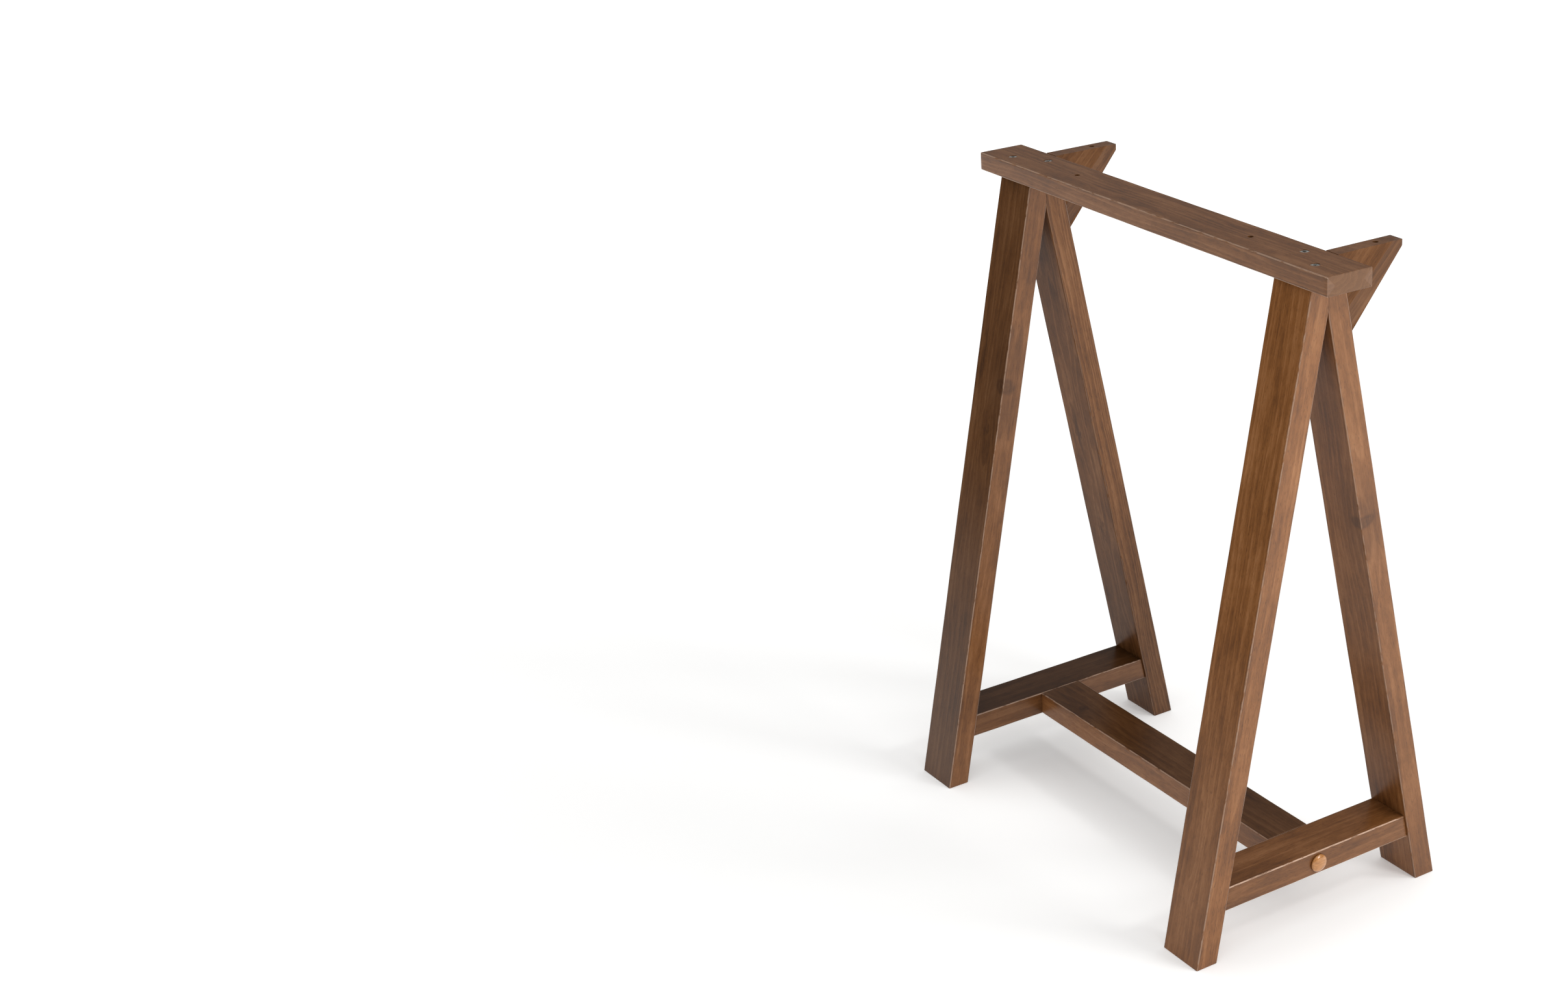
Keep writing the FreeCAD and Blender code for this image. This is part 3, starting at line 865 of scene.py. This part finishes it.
class TRESTLE_OT_button_plugs(bpy.types.Operator):
    """Add the turned button plugs over the stretcher bolts"""

    bl_idname = "trestle.button_plugs"
    bl_label = "Button Plugs"

    def execute(self, context):
        low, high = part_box("button_plugs")
        radius = (high.z - low.z) / 2
        face = abs(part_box("cross_rail_front")[0].y)
        rise = high.y - face
        plugs = turned_piece("turned_button_plugs", self.profile(radius, rise), [
            (np.array([0.0, sign * face, low.z + radius]), np.array([0.0, sign, 0.0]))
            for sign in ENDS.values()
        ])
        dress(plugs, turned_beech("honey_turned_beech"), "button_plugs")
        return {"FINISHED"}

    def profile(self, radius, rise):
        """A mushroom cap: a full half oval, then a small round under edge, then a short neck.

        The cap is (radius * cos(a) ** fullness, rise * (edge + (1 - edge) * sin a)), from
        close to its crown down to its rim at a = 0. The under edge is a quarter circle of
        radius edge * rise.
        """
        fullness, edge, neck_radius = 0.92, 0.32, 0.62
        crown = np.linspace(math.pi / 2 * 0.985, 0, 22)
        cap = [radius * np.cos(crown) ** fullness, rise * (edge + (1 - edge) * np.sin(crown))]
        under = np.linspace(0, math.pi / 2, 6)[1:]
        rim = [radius - edge * rise * (1 - np.cos(under)), edge * rise * (1 - np.sin(under))]
        neck = [[neck_radius * radius] * 2, [0.0, -0.5 * rise]]
        return np.concatenate([cap, rim, neck], axis=1).T


class TRESTLE_OT_hardware(bpy.types.Operator):
    """Finish the slip tenons, bolts, nuts, washers and screws"""

    bl_idname = "trestle.hardware"
    bl_label = "Hardware"

    def execute(self, context):
        beech = pressed_beech("pressed_beech")
        steel = zinc_steel("zinc_plated_steel")
        for name, piece in frame["nodes"].items():
            if "tenon" in name:
                coat(piece, beech)
            elif any(word in name for word in ("screws", "bolt", "washers", "nuts")):
                coat(piece, steel)
        return {"FINISHED"}


class TRESTLE_OT_stage(bpy.types.Operator):
    """Add the pale floor, the soft light and the camera"""

    bl_idname = "trestle.stage"
    bl_label = "Stage"

    # Name, place, what it faces, width and height in metres, and power in watts of each.
    softboxes = (
        ("key_softbox", (1.30, -1.65, 2.2), (0.0, -0.2, 0.2), (0.5, 0.3), 11.0),
        ("front_softbox", (0.55, -1.65, 0.85), (0.0, 0.0, 0.4), (0.45, 0.8), 9.5),
        ("edge_strip", (-2.7, -2.3, 0.35), (0.0, -0.2, 0.35), (0.2, 1.8), 5.0),
    )

    def execute(self, context):
        settings = context.scene.trestle_stage
        self.add_camera(settings)
        self.add_floor(settings)
        self.add_walls(settings)
        for softbox in self.softboxes:
            self.add_softbox(*softbox)
        context.scene.view_settings.view_transform = "Standard"
        return {"FINISHED"}

    def add_camera(self, settings):
        """The camera, standing and turned as the settings say."""
        camera = bpy.data.objects.new("camera", bpy.data.cameras.new("camera"))
        camera.location = settings.camera_place
        camera.rotation_euler = Euler([math.radians(a) for a in settings.camera_turn], "XYZ")
        camera.data.lens = settings.camera_lens
        camera.data.shift_x, camera.data.shift_y = settings.camera_shift
        bpy.context.scene.collection.objects.link(camera)
        bpy.context.scene.camera = camera

    def add_floor(self, settings):
        """White seamless paper, lit so evenly that it seems to glow."""
        half = settings.floor_size / 2
        corners = [(-half, -half, 0), (half, -half, 0), (half, half, 0), (-half, half, 0)]
        mesh = bpy.data.meshes.new("floor")
        mesh.from_pydata(corners, [], [(0, 1, 2, 3)])
        floor = bpy.data.objects.new("floor", mesh)
        bpy.context.scene.collection.objects.link(floor)
        material, shader, tree = new_material("white_paper")
        shader.inputs["Base Color"].default_value = linear("#FAFAF9")
        shader.inputs["Roughness"].default_value = 0.9
        shader.inputs["Specular IOR Level"].default_value = 0.1
        shader.inputs["Emission Color"].default_value = linear("#FFFFFF")
        # The glow grows from 0.5 m to 2.6 m away from the middle.
        place = add_node(tree, "TexCoord", output="Object")
        away = add_node(tree, "VectorMath", place, operation="LENGTH", output="Value")
        glow = add_node(
            tree, "MapRange", away, 0.5, 2.6, settings.floor_glow, settings.far_glow, **EASED
        )
        tree.links.new(glow, shader.inputs["Emission Strength"])
        mesh.materials.append(material)

    def add_walls(self, settings):
        """Soft light from all round, brighter from above, behind a white backdrop.

        The backdrop is what the camera sees past the floor, and the light is what falls on
        the trestle and shows in its lacquer.
        """
        world = bpy.data.worlds.new("studio")
        world.use_nodes = True
        tree = world.node_tree
        tree.nodes.clear()
        # height is the sine of the angle above the horizon.
        direction = add_node(tree, "TexCoord", output="Generated")
        height = add_node(tree, "SeparateXYZ", direction, output="Z")
        strength = add_node(
            tree, "MapRange", height, 0.12, 0.9, settings.horizon, settings.zenith, **EASED
        )
        seen = add_node(tree, "LightPath", output="Is Camera Ray")
        strength = add_node(tree, "Math", strength, seen, operation="MAXIMUM")
        light = add_node(tree, "Background", (1, 1, 1, 1), strength)
        add_node(tree, "OutputWorld", light)
        bpy.context.scene.world = world

    def add_softbox(self, name, place, target, size, power):
        """An upright area light that faces its target."""
        light = bpy.data.objects.new(name, bpy.data.lights.new(name, "AREA"))
        light.data.shape = "RECTANGLE"
        light.data.size, light.data.size_y = size
        light.data.energy = power
        light.location = place
        facing = Vector(target) - Vector(place)
        light.rotation_euler = facing.to_track_quat("-Z", "Y").to_euler()
        bpy.context.scene.collection.objects.link(light)


class TRESTLE_PT_panel(bpy.types.Panel):
    """Lists the pieces of the trestle and its settings"""

    bl_idname = "TRESTLE_PT_panel"
    bl_label = "Stained Pine Trestle"
    bl_space_type = "VIEW_3D"
    bl_region_type = "UI"
    bl_category = "Trestle"

    def draw(self, context):
        for group in (context.scene.trestle_timber, context.scene.trestle_stain,
                      context.scene.trestle_stage):
            box = self.layout.box()
            for key in group.__annotations__:
                box.prop(group, key)
        for operator in OPERATORS:
            self.layout.operator(operator.bl_idname)


SETTINGS = {
    "trestle_timber": TimberSizes,
    "trestle_stain": StainColours,
    "trestle_stage": StageSettings,
}
OPERATORS = (
    TRESTLE_OT_legs,
    TRESTLE_OT_cross_rails,
    TRESTLE_OT_long_boards,
    TRESTLE_OT_corner_braces,
    TRESTLE_OT_button_plugs,
    TRESTLE_OT_hardware,
    TRESTLE_OT_stage,
)


def register():
    for group in SETTINGS.values():
        bpy.utils.register_class(group)
    for cls in OPERATORS + (TRESTLE_PT_panel,):
        bpy.utils.register_class(cls)
    for name, group in SETTINGS.items():
        setattr(bpy.types.Scene, name, PointerProperty(type=group))


def unregister():
    for name in SETTINGS:
        delattr(bpy.types.Scene, name)
    for cls in reversed(tuple(SETTINGS.values()) + OPERATORS + (TRESTLE_PT_panel,)):
        bpy.utils.unregister_class(cls)


def main():
    register()
    for operator in OPERATORS:
        group, action = operator.bl_idname.split(".")
        getattr(getattr(bpy.ops, group), action)()


if __name__ == "__main__":
    main()
